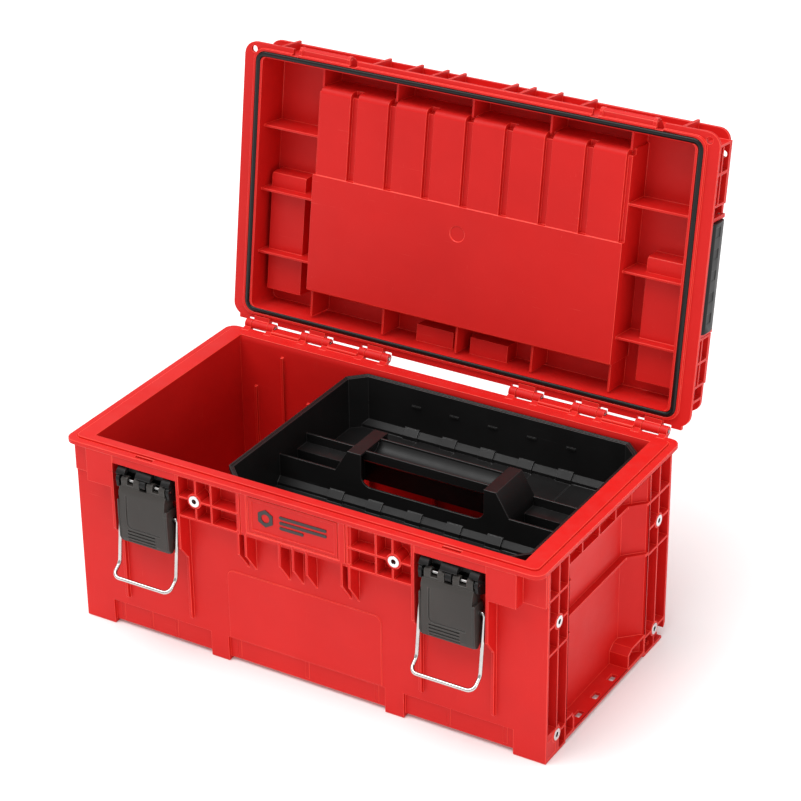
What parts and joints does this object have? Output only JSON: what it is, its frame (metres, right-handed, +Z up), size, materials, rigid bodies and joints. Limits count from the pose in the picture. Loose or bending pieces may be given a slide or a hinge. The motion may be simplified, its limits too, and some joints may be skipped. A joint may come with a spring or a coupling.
{
  "type": "stackable toolbox with lift-out tray",
  "caption": "Rectangular moulded toolbox with a hinged gasketed lid, over-centre wire latches, side clasps, fold-down handle and a lift-out tray with its own grip.",
  "frame": {"origin": "centre of the flat face the box stands on, under the middle of its length", "axes": "+X along the front to the right, +Y from the front towards the hinge, +Z up"},
  "size_m": [0.54, 0.4085, 0.5233],
  "materials": {
    "red_plastic": "satin",
    "label_red": "satin",
    "zinc_steel": "bright zinc",
    "latch_grey": "fine grain",
    "black_plastic": "satin",
    "tray_black": "fine grain",
    "seal_rubber": "matte",
    "grip_rubber": "matte"
  },
  "bodies": {
    "box": {"body_shell": "red_plastic", "label_plate": "label_red", "inserts_front": "zinc_steel", "inserts_right": "zinc_steel", "inserts_left": "zinc_steel", "latch_bracket_left": "black_plastic", "latch_bracket_right": "black_plastic", "latch_screws_left": "zinc_steel", "latch_screws_right": "zinc_steel", "latch_pin_left": "zinc_steel", "latch_pin_right": "zinc_steel"},
    "lid": {"lid_shell": "red_plastic", "lid_seal": "seal_rubber", "hinge_pins_left": "zinc_steel", "hinge_pins_right": "zinc_steel", "clasp_pin_left": "zinc_steel", "clasp_pin_right": "zinc_steel", "carry_pins": "zinc_steel"},
    "lever_left": {"latch_lever_left": "latch_grey"},
    "lever_right": {"latch_lever_right": "latch_grey"},
    "bail_left": {"latch_bail_left": "zinc_steel"},
    "bail_right": {"latch_bail_right": "zinc_steel"},
    "clasp_left": {"side_clasp_left": "black_plastic"},
    "clasp_right": {"side_clasp_right": "black_plastic"},
    "handle": {"carry_handle": "black_plastic", "carry_grip": "grip_rubber"},
    "tray": {"tray": "tray_black"}
  },
  "joints": [
    {"name": "lid_hinge", "type": "hinge", "parent": "box", "child": "lid", "pos_m": [0, 0.1545, 0.218], "axis": [-1, 0, 0], "range_deg": [-98.3, 0]},
    {"name": "lever_left_pivot", "type": "hinge", "parent": "box", "child": "lever_left", "pos_m": [-0.1723, -0.146, 0.187], "axis": [1, 0, 0], "range_deg": [-95, 0]},
    {"name": "lever_right_pivot", "type": "hinge", "parent": "box", "child": "lever_right", "pos_m": [0.1723, -0.146, 0.187], "axis": [1, 0, 0], "range_deg": [-95, 0]},
    {"name": "bail_left_pivot", "type": "hinge", "parent": "lever_left", "child": "bail_left", "pos_m": [-0.1723, -0.142, 0.155], "axis": [-1, 0, 0], "range_deg": [0, 140]},
    {"name": "bail_right_pivot", "type": "hinge", "parent": "lever_right", "child": "bail_right", "pos_m": [0.1723, -0.142, 0.155], "axis": [-1, 0, 0], "range_deg": [0, 140]},
    {"name": "clasp_right_pivot", "type": "hinge", "parent": "lid", "child": "clasp_right", "pos_m": [0.2614, 0.21487, 0.36856], "axis": [0, 0.1444, 0.9895], "range_deg": [0, 140]},
    {"name": "clasp_left_pivot", "type": "hinge", "parent": "lid", "child": "clasp_left", "pos_m": [-0.2614, 0.21487, 0.36856], "axis": [0, -0.1444, -0.9895], "range_deg": [0, 140]},
    {"name": "carry_handle_pivot", "type": "hinge", "parent": "lid", "child": "handle", "pos_m": [0, 0.20369, 0.37505], "axis": [1, 0, 0], "range_deg": [0, 95]},
    {"name": "tray_lift", "type": "slide", "parent": "box", "child": "tray", "axis": [0, 0, 1], "range_m": [0, 0.15]}
  ]
}
